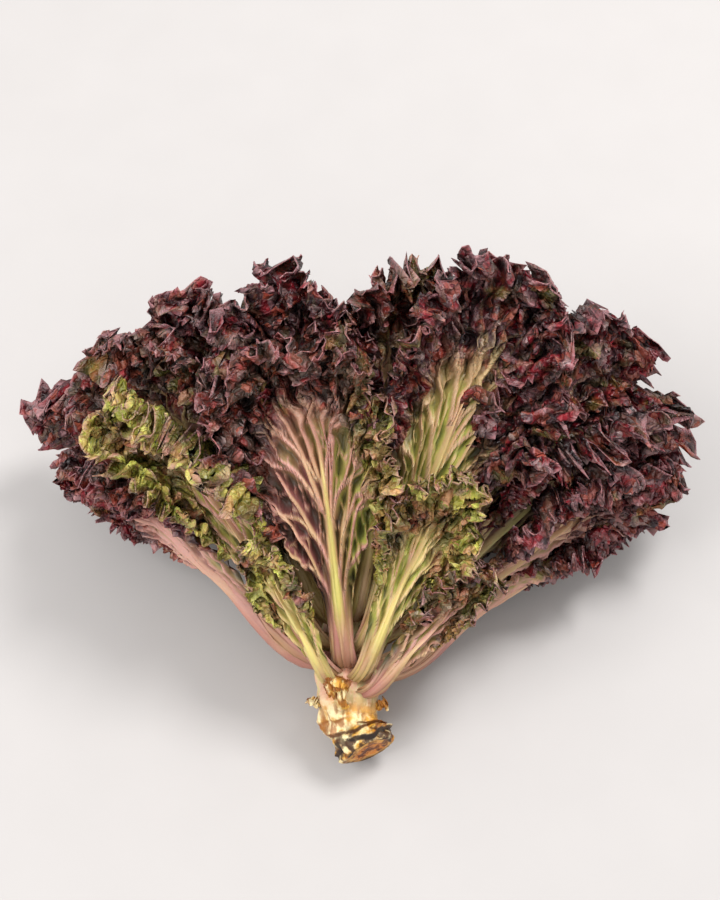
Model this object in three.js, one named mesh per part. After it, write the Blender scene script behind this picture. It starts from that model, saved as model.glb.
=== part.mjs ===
// A cut head of red batavia lettuce, lying on its side. Millimetres, +Z up, the cut stem towards -Y.
// The head is one stem with a whorl of leaves. Each leaf is a thin curved plate that leaves the stem
// on its own level: levels are nested cones round the head's axis, so no leaf meets another.
import * as THREE from "three";

const deg = THREE.MathUtils.degToRad;

// The head's axis, from the point where the outermost leaves leave the stem.
const BASE = new THREE.Vector3(-5, -90, 23);
const RISE = deg(13);
const AXIS = new THREE.Vector3(0, Math.cos(RISE), Math.sin(RISE));
const ACROSS = new THREE.Vector3(1, 0, 0);
const UPWARD = new THREE.Vector3(0, -Math.sin(RISE), Math.cos(RISE));

// The stem: a cut butt below the leaves, and a core that tapers to the growing tip between them.
const CORE_LENGTH = 48;
const CORE_RADIUS = 13;
const TIP_SHARE = 0.02;
const BUTT_LENGTH = 37;
const BUTT_RADIUS = 11.6;
const BUTT_LEAN = 0.7;
const LEAN_FROM = -18;

// How the levels open: sideways, and above and below the axis, as slopes of the outermost level.
const SPREAD = 1.3;
const SPREAD_TO_RIGHT = 0.15;
const OPEN_ABOVE = 0.5;
const OPEN_BELOW = 0.26;
const HUG = 14;
const BULGE = 7;
const CLEARANCE = 0.8;

// The head sags towards its sides.
const SAG = 0.42;
const SAG_REACH = 145;

// Leaf plate. The ruffle is RUFFLE high on a leaf of RUFFLE_HALF_WIDTH, and less on a narrower one.
const BLADE_THICKNESS = 1;
const RIB_THICKNESS = 1;
const RIB_WIDTH = 5;
const WRAP = deg(118);
const BLADE_SHARE = 0.33;
const FRILL_FROM = 0.6;
const FLARE = 17;
const FLARE_FROM = 95;
const FLARE_LENGTH = 80;
const RUFFLE = 3;
const RUFFLE_HALF_WIDTH = 44;

// Each leaf: turn round the axis (90 is uppermost, 180 left), level (1 is outermost), length along its
// midrib, half width, and how far its blade is shifted sideways off the midrib.
const LEAVES = [
  ["torn_stub_top", 99, 1.38, 17, 8, 0],
  ["torn_stub_left", 158, 1.34, 11, 6, 0],
  ["torn_stub_right", 22, 1.36, 11, 5, 0],
  ["small_left_leaf", 114, 1.24, 72, 17, 0],
  ["small_right_leaf", 54, 1.3, 76, 24, 4],
  ["small_middle_leaf", 71, 1.17, 94, 26, 0],
  ["front_leaf", 95, 1.04, 132, 50, -20],
  ["left_leaf", 120, 1.13, 150, 28, 0],
  ["far_left_leaf", 162, 1.0, 153, 27, 0],
  ["right_leaf", 348, 1.06, 127, 26, 0],
  ["right_shoulder_leaf", 18, 0.99, 155, 40, 0],
  ["centre_right_leaf", 69, 0.92, 169, 46, 0],
  ["left_shoulder_leaf", 130, 0.88, 160, 42, 0],
  ["left_side_leaf", 166, 0.78, 164, 38, 0],
  ["right_side_leaf", 24, 0.83, 171, 36, 0],
  ["back_left_leaf", 102, 0.76, 150, 38, 0],
  ["back_right_leaf", 76, 0.63, 146, 40, 0],
  ["right_crown_leaf", 41, 0.73, 170, 42, 0],
  ["left_crown_leaf", 127, 0.66, 152, 34, 0],
  ["under_left_leaf", 243, 0.96, 152, 36, 0],
  ["under_right_leaf", 295, 0.96, 150, 36, 0],
  ["lower_left_leaf", 230, 0.74, 148, 25, 0],
  ["lower_right_leaf", 318, 0.78, 148, 34, 0],
  ["under_middle_leaf", 265, 0.5, 138, 32, 0],
  ["inner_top_leaf", 98, 0.54, 128, 31, 0],
  ["inner_right_leaf", 16, 0.62, 148, 30, 0],
  ["inner_left_leaf", 188, 0.5, 138, 30, 0],
  ["inner_back_left_leaf", 136, 0.43, 130, 30, 0],
  ["inner_back_right_leaf", 52, 0.41, 132, 29, 0],
  ["inner_lower_right_leaf", 310, 0.6, 136, 22, 0],
  ["heart_top_leaf", 92, 0.32, 116, 26, 0],
  ["heart_left_leaf", 170, 0.22, 112, 22, 0],
  ["heart_right_leaf", 20, 0.12, 106, 18, 0],
].map(([name, turn, level, length, halfWidth, shift]) => ({
  name,
  turn: deg(turn),
  level,
  length,
  halfWidth,
  shift,
}));

function coreRadius(along) {
  return CORE_RADIUS * Math.sqrt(Math.max(TIP_SHARE, 1 - Math.max(along, 0) / CORE_LENGTH));
}

function attachment(level) {
  return CORE_LENGTH * (1 - level);
}

function sag(point) {
  const reach = (point.x / SAG_REACH) ** 2;
  point.z *= 1 - (SAG * reach) / (1 + 0.3 * reach);
  return point;
}

// A level's two slopes at a turn, and its own start on the stem.
function levelAt(level, turn) {
  const above = 0.5 + 0.5 * Math.tanh(4 * Math.sin(turn));
  const opening = OPEN_ABOVE * above + OPEN_BELOW * (1 - above);
  const start = attachment(level);
  return {
    start,
    radius: coreRadius(start) + CLEARANCE,
    sideways: (SPREAD + SPREAD_TO_RIGHT * Math.cos(turn)) * level,
    upward: opening * level,
  };
}

// The point at a distance along a level's surface, at a turn round the axis. A level bulges out of the
// stem, opens, and flares towards the leaf ends.
function onLevel(level, turn, distance) {
  const at = levelAt(level, turn);
  const slopeX = at.sideways * Math.cos(turn);
  const slopeZ = at.upward * Math.sin(turn);
  const forward = distance / Math.hypot(1, slopeX, slopeZ);
  const opened = forward - 0.5 * HUG * (1 - Math.exp(-forward / HUG));
  const flare = FLARE * THREE.MathUtils.smoothstep(distance, FLARE_FROM, FLARE_FROM + FLARE_LENGTH);
  const out = at.radius + BULGE * (1 - Math.exp(-forward / BULGE));
  const press = Math.sin(turn) > 0 ? 1 : 0.15;
  const leanX = Math.cos(turn) / at.sideways;
  const leanZ = Math.sin(turn) / at.upward;
  const outward = flare / Math.hypot(leanX, leanZ);
  const x = out * Math.cos(turn) + opened * slopeX + outward * leanX;
  const z = out * Math.sin(turn) + opened * slopeZ + outward * press * leanZ;
  return BASE.clone()
    .addScaledVector(AXIS, at.start + forward)
    .addScaledVector(ACROSS, x)
    .addScaledVector(UPWARD, z);
}

// How far round the axis a sideways distance on the leaf reaches.
function turnAcross(leaf, sideways, distance) {
  let swing = 0;
  for (let step = 0; step < 6; step++) {
    const middle = leaf.turn + 0.5 * swing;
    const at = levelAt(leaf.level, middle);
    const wide = at.radius + BULGE + distance * at.sideways;
    const high = at.radius + BULGE + distance * at.upward;
    const perRadian = Math.hypot(wide * Math.sin(middle), high * Math.cos(middle));
    swing = 0.5 * (swing - sideways / perRadian);
  }
  return leaf.turn + swing;
}

// The leaf laid flat: across runs from -1 to 1 round the margin, along from the stem to the margin.
function flatLeaf(leaf, across, along) {
  const round = across * WRAP;
  const bladeHeight = BLADE_SHARE * leaf.length;
  const marginX =
    leaf.halfWidth * Math.sin(round) * (1 + 0.12 * Math.cos(round)) +
    leaf.shift * Math.cos(round / 2) ** 2;
  const marginY = leaf.length - bladeHeight + bladeHeight * Math.cos(round);
  const petiole = Math.min(5, 0.25 * leaf.halfWidth);
  const back = 1 - along;
  const [first, second, third, last] = [back ** 3, 3 * back ** 2 * along, 3 * back * along ** 2, along ** 3];
  const stalkX = (first + 1.1 * second + 1.35 * third) * petiole * across;
  return {
    x: stalkX + (0.06 * third + last) * marginX,
    y: (0.33 * second + 0.7 * third + last) * marginY,
  };
}

function leafPoint(leaf, across, along) {
  const flat = flatLeaf(leaf, across, along);
  return sag(onLevel(leaf.level, turnAcross(leaf, flat.x, flat.y), flat.y));
}

// The direction out of the leaf's back, away from the head's axis.
function leafNormal(leaf, across, along) {
  const step = 0.01;
  const tangentAcross = leafPoint(leaf, across + step, along).sub(leafPoint(leaf, across - step, along));
  const low = Math.max(along - step, 0);
  const tangentAlong = leafPoint(leaf, across, low + 2 * step).sub(leafPoint(leaf, across, low));
  return tangentAcross.cross(tangentAlong).normalize();
}

// Rows of the plate: how far out each one is, and its number of columns. A torn stub is a plain shred.
const INNER_COLUMNS = 6;
const ROWS = [
  [0, INNER_COLUMNS],
  [0.2, INNER_COLUMNS],
  [0.42, INNER_COLUMNS],
  [0.62, 12],
  [0.82, 18],
  [1, 18],
];
const STUB_LENGTH = 20;
const STUB_ROWS = [
  [0, 4],
  [0.5, 4],
  [1, INNER_COLUMNS],
];

// One closed plate: a back and a front sheet of the same rows, joined round the edge.
function leafGeometry(leaf) {
  const positions = [];
  const indices = [];
  const rowsOut = leaf.length < STUB_LENGTH ? STUB_ROWS : ROWS;
  const sheets = [1, -1].map((side) =>
    rowsOut.map(([along, columns]) =>
      Array.from({ length: columns + 1 }, (_, column) => {
        const across = (2 * column) / columns - 1;
        const frill = Math.max(0, (along - FRILL_FROM) / (1 - FRILL_FROM));
        const ruffle = RUFFLE * (leaf.halfWidth / RUFFLE_HALF_WIDTH) * frill * (column % 2 ? 1 : -1);
        const offRib = flatLeaf(leaf, across, along).x / RIB_WIDTH;
        const rib = RIB_THICKNESS * Math.exp(-(offRib ** 2)) * (1 - along);
        const half = side > 0 ? BLADE_THICKNESS / 2 + rib : -BLADE_THICKNESS / 2;
        const lift = columns > INNER_COLUMNS ? half + ruffle : half;
        const point = leafPoint(leaf, across, along);
        point.addScaledVector(leafNormal(leaf, across, along), lift);
        positions.push(point.x, point.y, point.z);
        return positions.length / 3 - 1;
      }),
    ),
  );
  const face = (a, b, c, side) => indices.push(...(side > 0 ? [a, b, c] : [a, c, b]));
  sheets.forEach((rows, sheet) => {
    const side = sheet ? -1 : 1;
    for (let row = 0; row + 1 < rows.length; row++) {
      stitch(rows[row], rows[row + 1], (a, b, c) => face(a, b, c, side));
    }
  });
  const edge = (rows) => [
    ...rows[0],
    ...rows.slice(1).map((row) => row.at(-1)),
    ...rows.at(-1).slice(0, -1).reverse(),
    ...rows.slice(1, -1).reverse().map((row) => row[0]),
  ];
  const [back, front] = sheets.map(edge);
  back.forEach((_, i) => {
    const next = (i + 1) % back.length;
    face(back[i], front[i], back[next], 1);
    face(back[next], front[i], front[next], 1);
  });
  const geometry = new THREE.BufferGeometry();
  geometry.setAttribute("position", new THREE.Float32BufferAttribute(positions, 3));
  geometry.setIndex(indices);
  geometry.computeVertexNormals();
  return geometry;
}

// Triangles between two rows that may hold different numbers of points.
function stitch(lower, upper, face) {
  let i = 0;
  let j = 0;
  while (i < lower.length - 1 || j < upper.length - 1) {
    const lowerNext = (i + 1) / (lower.length - 1);
    const upperNext = (j + 1) / (upper.length - 1);
    if (j === upper.length - 1 || (i < lower.length - 1 && lowerNext <= upperNext)) {
      face(lower[i], lower[i + 1], upper[j]);
      i++;
    } else {
      face(lower[i], upper[j + 1], upper[j]);
      j++;
    }
  }
}

// The stem, turned about the axis and then leant over below the leaves.
function stemGeometry() {
  const profile = [[0, -BUTT_LENGTH]];
  for (const [along, radius] of [
    [-BUTT_LENGTH, BUTT_RADIUS - 1],
    [-BUTT_LENGTH + 1.5, BUTT_RADIUS],
    [-26, BUTT_RADIUS + 0.4],
    [-14, BUTT_RADIUS + 1.2],
    [-2, CORE_RADIUS],
  ])
    profile.push([radius, along]);
  for (let step = 1; step <= 6; step++) {
    const along = (CORE_LENGTH * step) / 6;
    profile.push([coreRadius(along), along]);
  }
  profile.push([0, CORE_LENGTH]);
  const geometry = new THREE.LatheGeometry(
    profile.map(([radius, along]) => new THREE.Vector2(radius, along)),
    20,
  );
  const place = geometry.getAttribute("position");
  for (let i = 0; i < place.count; i++) {
    const along = place.getY(i);
    const below = Math.max(LEAN_FROM - along, 0);
    const lean = (below * below) / (below + 8);
    const point = BASE.clone()
      .addScaledVector(AXIS, along)
      .addScaledVector(ACROSS, place.getX(i) + BUTT_LEAN * lean)
      .addScaledVector(UPWARD, place.getZ(i));
    place.setXYZ(i, point.x, point.y, point.z);
  }
  return geometry;
}

const stemFlesh = new THREE.MeshStandardMaterial({ name: "stem", color: 0xc9a868, roughness: 0.6 });
const leafFlesh = new THREE.MeshStandardMaterial({ name: "leaf", color: 0x5a2a2e, roughness: 0.55 });

const head = new THREE.Group();

function addPiece(name, geometry, material) {
  const mesh = new THREE.Mesh(geometry, material);
  mesh.name = name;
  head.add(mesh);
}

addPiece("stem", stemGeometry(), stemFlesh);
for (const leaf of LEAVES) {
  addPiece(leaf.name, leafGeometry(leaf), leaf.length < STUB_LENGTH ? stemFlesh : leafFlesh);
}

// The origin is under the middle of the head, on the surface it lies on.
const bounds = new THREE.Box3().setFromObject(head);
const middle = bounds.getCenter(new THREE.Vector3());
for (const mesh of head.children) mesh.geometry.translate(-middle.x, -middle.y, -bounds.min.z);

export default head;
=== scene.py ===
# A cut head of red batavia lettuce, lying on its side. Metres, +Z up, the cut stem towards -Y.
from math import cos, pi, radians, sin

import bpy
import numpy as np
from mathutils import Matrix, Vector


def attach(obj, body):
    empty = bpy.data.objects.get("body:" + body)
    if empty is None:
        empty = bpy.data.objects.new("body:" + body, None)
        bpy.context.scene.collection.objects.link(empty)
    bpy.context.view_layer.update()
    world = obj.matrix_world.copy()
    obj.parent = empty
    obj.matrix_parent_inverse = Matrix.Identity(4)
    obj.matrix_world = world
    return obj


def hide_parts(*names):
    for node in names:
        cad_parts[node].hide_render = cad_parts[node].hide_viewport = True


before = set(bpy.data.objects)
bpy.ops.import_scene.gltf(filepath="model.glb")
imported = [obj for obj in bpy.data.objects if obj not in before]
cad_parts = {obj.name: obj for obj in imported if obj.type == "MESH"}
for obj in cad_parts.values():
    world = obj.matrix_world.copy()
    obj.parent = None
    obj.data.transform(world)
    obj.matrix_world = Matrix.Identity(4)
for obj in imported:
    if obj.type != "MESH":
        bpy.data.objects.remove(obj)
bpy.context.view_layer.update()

MM = 0.001
LEAF_SEED, SHRED_SEED, STEM_SEED = 100, 300, 7

# ----------------------------------------
# The head's form, in millimetres. A level is a cone-like surface round the head's axis: level 1 holds
# the outer leaves and lower levels nest inside it, so that leaves lie over each other like scales.

BASE = np.array([-6.515, -63.065, 22.479])  # where the outermost leaves leave the stem
RISE = radians(13)  # the axis climbs towards the leaf ends
AXIS = np.array([0.0, cos(RISE), sin(RISE)])
ACROSS = np.array([1.0, 0.0, 0.0])
UPWARD = np.array([0.0, -sin(RISE), cos(RISE)])
CORE_LENGTH, CORE_RADIUS = 48.0, 13.0  # the stem inside the head, which narrows to its tip
CORE_TIP = 0.02  # keeps that tip from closing to nothing
SPREAD, SPREAD_TO_RIGHT = 1.3, 0.15  # sideways slope of level 1, and what the right side adds
OPEN_ABOVE, OPEN_BELOW = 0.5, 0.26  # its slope upwards, and downwards against the floor
SIDE_TURN = 4  # how fast the one slope goes over into the other
HUG = 14.0  # a leaf hugs the stem this far before it opens
BULGE, CLEARANCE = 7.0, 0.8  # how far its foot bulges, and starts off the stem
PRESS_BELOW = 0.15  # share of its roll that a margin keeps against the floor
SAG, SAG_REACH, SAG_EASE = 0.42, 145.0, 0.3  # the far left and right sink towards the floor
TURN_PASSES = 6


def smooth(x, low=0.0, high=1.0):
    """0 below low, 1 above high, and an even rise between them."""
    t = np.clip((x - low) / (high - low), 0, 1)
    return t * t * (3 - 2 * t)


def core_radius(along):
    return CORE_RADIUS * np.sqrt(max(CORE_TIP, 1 - max(along, 0.0) / CORE_LENGTH))


def level_slopes(level, turn):
    above = 0.5 + 0.5 * np.tanh(SIDE_TURN * np.sin(turn))
    opening = OPEN_ABOVE * above + OPEN_BELOW * (1 - above)
    return (SPREAD + SPREAD_TO_RIGHT * np.cos(turn)) * level, opening * level


def on_level(level, turn, distance, flare, pull):
    """Points on a level, by their turn round the axis and distance from the stem. The flare lifts them
    off the level, and the pull draws them back along the axis."""
    start = CORE_LENGTH * (1 - level)
    sideways, upward = level_slopes(level, turn)
    slope_x, slope_z = sideways * np.cos(turn), upward * np.sin(turn)
    forward = distance / np.sqrt(1 + slope_x**2 + slope_z**2)
    opened = forward - 0.5 * HUG * (1 - np.exp(-forward / HUG))
    out = core_radius(start) + CLEARANCE + BULGE * (1 - np.exp(-np.maximum(forward, 0) / BULGE))
    press = np.where(np.sin(turn) > 0, 1.0, PRESS_BELOW)
    lean_x, lean_z = np.cos(turn) / sideways, np.sin(turn) / upward
    flare = flare / np.hypot(lean_x, lean_z)
    x = out * np.cos(turn) + opened * slope_x + flare * lean_x
    z = out * np.sin(turn) + opened * slope_z + flare * press * lean_z
    along = start + forward - pull
    return BASE + along[..., None] * AXIS + x[..., None] * ACROSS + z[..., None] * UPWARD


def turn_across(leaf, sideways, distance):
    """The turn round the axis of points that lie sideways of the midrib, found in a few passes."""
    swing = np.zeros_like(sideways)
    radius = core_radius(CORE_LENGTH * (1 - leaf["level"])) + CLEARANCE + BULGE
    for _ in range(TURN_PASSES):
        middle = leaf["turn"] + 0.5 * swing
        wide, high = level_slopes(leaf["level"], middle)
        per_radian = np.hypot((radius + distance * wide) * np.sin(middle),
                              (radius + distance * high) * np.cos(middle))
        swing = 0.5 * (swing - sideways / per_radian)
    return leaf["turn"] + swing


BLADE_SHARE = 0.33  # height of the blade above its middle, of the leaf's length
EGG_SHAPE = 0.12  # how far the blade is wider towards its tip
STALK_HALF, STALK_SHARE = 5.0, 0.25  # half its width in mm, at most this share of the blade's
STALK_WIDENS = 1.1, 1.35  # its width one and two thirds of the way to the margin
BLADE_OPENS = 0.06  # share of the blade's width two thirds of the way
WAY_OUT = 0.33, 0.7  # share of the leaf's length one and two thirds of the way
CLASP_REACH = 0.07  # share of the leaf over which its foot clasps the stem
FULL_LENGTH = 150  # mm, the length of leaf that a flare is given for
FLARE_GROWS = 2.2  # the power that it grows with towards the margin
FLARE_AT_ENDS, FLARE_END = 0.3, 0.25  # a flare dies down to this, over this share of the margin
PULL_FROM, PULL_TO = 0.35, 0.5  # share of the flare by which the margin is pulled back


def flat_leaf(leaf, across, along):
    """The leaf laid flat: millimetres sideways from its midrib and out from the stem. Each point lies
    on a curve that leaves the foot of the stalk and ends on the margin."""
    bend = across * radians(leaf["wrap"])
    height = BLADE_SHARE * leaf["length"]
    margin_x = leaf["half_width"] * np.sin(bend) * (1 + EGG_SHAPE * np.cos(bend))
    margin_x = margin_x + leaf["shift"] * np.cos(bend / 2) ** 2
    margin_y = leaf["length"] - height + height * np.cos(bend)
    stalk = leaf["broad"] * min(STALK_HALF, STALK_SHARE * leaf["half_width"]) * across
    back = 1 - along
    first, second, third, last = back**3, 3 * back**2 * along, 3 * back * along**2, along**3
    x = (first + STALK_WIDENS[0] * second + STALK_WIDENS[1] * third) * stalk
    x = x + (BLADE_OPENS * third + last) * margin_x
    return x, (WAY_OUT[0] * second + WAY_OUT[1] * third + last) * margin_y


def smooth_leaf(leaf, across, along, roll):
    """The leaf without its frill: where it lies in the head. Its margin rolls outwards and back."""
    x, y = flat_leaf(leaf, across, along)
    x = x * (1 + leaf["clasp"] * np.exp(-along / CLASP_REACH))
    frill = np.clip((along - leaf["frilled"]) / (1 - leaf["frilled"]), 0, None)
    ends = FLARE_AT_ENDS + (1 - FLARE_AT_ENDS) * smooth(1 - np.abs(across), 0, FLARE_END)
    flare = leaf["flare"] * frill**FLARE_GROWS * ends * roll * leaf["length"] / FULL_LENGTH
    pull = flare * (PULL_FROM + PULL_TO * frill**2)
    places = on_level(leaf["level"], turn_across(leaf, x, y), y, flare, pull)
    reach = (places[..., 0] / SAG_REACH) ** 2
    places[..., 2] *= 1 - SAG * reach / (1 + SAG_EASE * reach)
    return places


# ----------------------------------------
# Frill. The margin of the leaf has grown about three times as long as the line it follows, so it
# folds back and forth: long folds first, and short ones on top of them near the edge.

FOLD_SPACING = 9.0  # mm along the margin from one long fold to the next
SHORT_FOLDS = 2.1  # short folds in each long one
CURL_SIZE = 4.0  # mm from one small curl to the next
FRILL_STEPS = 2400  # places along the margin in a frill's tables
FRILL_ROWS = 21  # rows from where the frill starts to the margin
CLOSEST_FOLD = 0.24  # a fold is never closed further than this

# How uneven the folds are, and the millimetres along the margin from one change to the next.
LONG_STRAY, SHORT_STRAY = (0.5, 32), (0.6, 11)  # in their spacing
LONG_DRIFT, SHORT_DRIFT = (1.1, 24), (1.2, 9)  # on their way out to the margin
LONG_SIZE, SHORT_SIZE = (0.35, 22), (0.5, 8)  # in size


def wander(rng, count, steps=FRILL_STEPS):
    """A smooth random line between -1 and 1 with about count knots."""
    knots = rng.uniform(-1, 1, int(count) + 3)
    at = np.linspace(0, int(count) + 1.999, steps)
    low = at.astype(int)
    share = at - low
    share = share * share * (3 - 2 * share)
    return knots[low] * (1 - share) + knots[low + 1] * share


def running_mean(line, window):
    window = max(int(window) | 1, 3)
    pad = window // 2
    padded = np.concatenate([np.full(pad, line[0]), line, np.full(pad, line[-1])])
    total = np.cumsum(np.insert(padded, 0, 0.0))
    return (total[window:] - total[:-window]) / window


def frill_tables(leaf, rng):
    """How far the margin shifts sideways and out of the leaf, by row of the frill and place along it,
    then the count of long and of short folds up to each place, and the margin's length."""
    margin = np.linspace(-1, 1, FRILL_STEPS)
    margin_x, margin_y = flat_leaf(leaf, margin, np.ones(FRILL_STEPS))
    length = np.concatenate([[0], np.cumsum(np.hypot(np.diff(margin_x), np.diff(margin_y)))])
    spacing = FOLD_SPACING * leaf["fold"]
    folds = length / spacing + LONG_STRAY[0] * wander(rng, length[-1] / LONG_STRAY[1])
    short = SHORT_FOLDS * folds + SHORT_STRAY[0] * wander(rng, length[-1] / SHORT_STRAY[1])
    drift, short_drift = wander(rng, length[-1] / LONG_DRIFT[1]), wander(rng, length[-1] / SHORT_DRIFT[1])
    long_size = 1 + LONG_SIZE[0] * wander(rng, length[-1] / LONG_SIZE[1])
    short_size = 1 + SHORT_SIZE[0] * wander(rng, length[-1] / SHORT_SIZE[1])
    start = rng.uniform(0, 2 * pi)
    step = np.gradient(length)
    window = FRILL_STEPS * spacing / length[-1]
    sideways, outward = [], []
    for row in np.linspace(0, 1, FRILL_ROWS):
        bend = radians(leaf["curl"]) * smooth(row, 0.02, 0.75) * long_size
        bend = bend * np.sin(2 * pi * (folds + LONG_DRIFT[0] * drift * row) + start)
        twist = radians(leaf["twist"]) * smooth(row, 0.25, 0.85) * short_size
        bend = bend + twist * np.sin(2 * pi * (short + SHORT_DRIFT[0] * short_drift * row))
        stretch = 1 / np.maximum(running_mean(np.cos(bend), window), CLOSEST_FOLD)
        side = np.cumsum((stretch * np.cos(bend) - 1) * step)
        out = np.cumsum(stretch * np.sin(bend) * step)
        sideways.append(side - running_mean(side, 1.5 * window))
        outward.append(out - running_mean(out, window))
    return np.array(sideways), np.array(outward), folds, short, length[-1]


def look_up(table, row, column):
    """A table read between its rows and columns, each given as a share from 0 to 1."""
    rows, columns = table.shape
    at_row = np.clip(row, 0, 1) * (rows - 1)
    at_column = np.clip(column, 0, 1) * (columns - 1)
    i, j = np.minimum(at_row.astype(int), rows - 2), np.minimum(at_column.astype(int), columns - 2)
    down, over = at_row - i, at_column - j
    near = table[i, j] * (1 - over) + table[i, j + 1] * over
    far = table[i + 1, j] * (1 - over) + table[i + 1, j + 1] * over
    return near * (1 - down) + far * down


def blotches(rng, u, v, across_count, along_count):
    """Smooth random patches between -1 and 1 over the leaf."""
    grid = rng.uniform(-1, 1, (across_count + 3, along_count + 3))
    at_u, at_v = np.clip(u, 0, 1) * across_count, np.clip(v, 0, 1) * along_count
    i, j = at_u.astype(int), at_v.astype(int)
    down, over = smooth(at_u - i), smooth(at_v - j)
    near = grid[i, j] * (1 - down) + grid[i + 1, j] * down
    far = grid[i, j + 1] * (1 - down) + grid[i + 1, j + 1] * down
    return near * (1 - over) + far * over


# ----------------------------------------
# Veins. The midrib sends out side veins that first run beside it, then fan out and fork twice.

WIDE_LEAF = 44  # mm, the half width of leaf that vein widths are given for
RIB_WIDTH, RIB_TIP = 4.4, 1.0  # mm, what the midrib loses on its way out, and keeps
USUAL_FLESH = 2.8  # mm, the thickness of most stalks at the foot
VEIN_WIDTH, FORK_LOSS, TWIG_LOSS = 1.9, 0.95, 0.35  # mm, and what each forking takes off it
VEIN_STRAY, VEIN_SNAKE = 0.03, 0.012  # of the leaf's width
TWIG_SPREAD = 0.45  # of the spread of the first forking
NET_WIDTH, NET_LENGTH = 6.0, 11.0  # mm, one mesh of the net between the veins
NET_CELLS = 97  # before the net repeats
NET_STRENGTH = 0.75


def vein_field(leaf, rng, across, along):
    """How much of a vein each point is, millimetres to the nearest vein, and the midrib's own share."""
    step = 0.01
    x_next, y_next = flat_leaf(leaf, across + step, along)
    x_back, y_back = flat_leaf(leaf, across - step, along)
    per_share = np.hypot(x_next - x_back, y_next - y_back) / (2 * step)
    middle = leaf["midrib"]
    scale = 0.5 + 0.5 * leaf["half_width"] / WIDE_LEAF
    rib_width = scale * (RIB_WIDTH * (1 - smooth(along, 0, 0.7)) + RIB_TIP)
    rib_width = rib_width * (0.5 + 0.5 * leaf["fleshy"] / USUAL_FLESH)
    rib = np.exp(-(((across - middle) * per_share / rib_width) ** 2))
    veins, gap = rib.copy(), np.abs(across - middle) * per_share
    for side in (-1, 1):
        for order in range(leaf["side_veins"]):
            share = (order + 1) / leaf["side_veins"]
            reach = side * (0.08 + 0.84 * share**1.1) + rng.uniform(-VEIN_STRAY, VEIN_STRAY)
            leaves_at = 0.5 * (1 - share) + 0.1 + rng.uniform(-VEIN_STRAY, VEIN_STRAY)
            fan = 1 - np.exp(-np.clip(along - leaves_at, 0, None) / rng.uniform(0.17, 0.26))
            path = middle + (reach - middle) * fan + VEIN_SNAKE * np.sin(along * 30 + order * 2)
            first = rng.uniform(0.32, 0.5)
            second = first + rng.uniform(0.15, 0.3)
            for fork in (-1, 1):
                for twig in (-1, 1):
                    spot = path + leaf["spread"] * fork * smooth(along, first, first + 0.35)
                    spot = spot + TWIG_SPREAD * leaf["spread"] * twig * smooth(along, second, second + 0.25)
                    width = scale * (VEIN_WIDTH - FORK_LOSS * smooth(along, first - 0.25, first + 0.2)
                                     - TWIG_LOSS * smooth(along, second, second + 0.1))
                    away = np.abs(across - spot) * per_share
                    strength = smooth(along, leaves_at, leaves_at + 0.08)
                    veins = np.maximum(veins, strength * np.exp(-((away / width) ** 2)))
                    gap = np.minimum(gap, away + 9 * (1 - strength))
    return veins, gap, rib


def cell_edges(rng, u, v):
    """A net of fine cross veins: 1 on the line between two jittered cells, 0 inside them."""
    jitter = rng.uniform(0.12, 0.88, (NET_CELLS, NET_CELLS, 2))
    cell_u, cell_v = np.floor(u).astype(int), np.floor(v).astype(int)
    first, second = np.full_like(u, 9.0), np.full_like(u, 9.0)
    for du in (-1, 0, 1):
        for dv in (-1, 0, 1):
            spot = jitter[(cell_u + du) % NET_CELLS, (cell_v + dv) % NET_CELLS]
            far = np.hypot(cell_u + du + spot[:, 0] - u, cell_v + dv + spot[:, 1] - v)
            second = np.minimum(second, np.maximum(first, far))
            first = np.minimum(first, far)
    return 1 - smooth(second - first, 0, 0.26)


# ----------------------------------------
# Leaves. Lengths and widths are in millimetres.

# What a leaf is like unless its own row says otherwise.
USUAL = dict(
    reach=1.08,          # length of the leaf with its frill, of the length given
    fleshy=USUAL_FLESH,  # thickness of the stalk at its foot
    broad=1.0,           # width of the stalk
    clasp=0.8,           # what its foot adds to that where it clasps the stem
    sink=5.5,            # how deep its foot sinks into the stem
    wrap=118,            # degrees that the margin goes round to either side
    midrib=0.0,          # place of the midrib across the leaf, from -1 to 1
    side_veins=4,        # on either side
    spread=0.07,         # how far apart a vein's forks go
    relief=3.0,          # how far the leaf swells between its veins
    frilled=0.6,         # how far along the leaf the frill starts
    fold=1.0,            # size of its folds
    curl=108.0,          # degrees that a long fold turns
    twist=86.0,          # degrees that a short fold adds
    wander=5.0,          # how far a fold strays sideways on its way out
    flare=15.0,          # how far the margin rolls outwards
    pink=0.5,            # of the stalk and veins, which are else yellow green
    pale_rib=0.3,        # how much of that pink the midrib lacks
    green_across=0.0,    # how much greener the right side is than the left
    frill_green=0.0,     # how green the frill is
    fleck=0.3)           # green flecks in the frill

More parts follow.
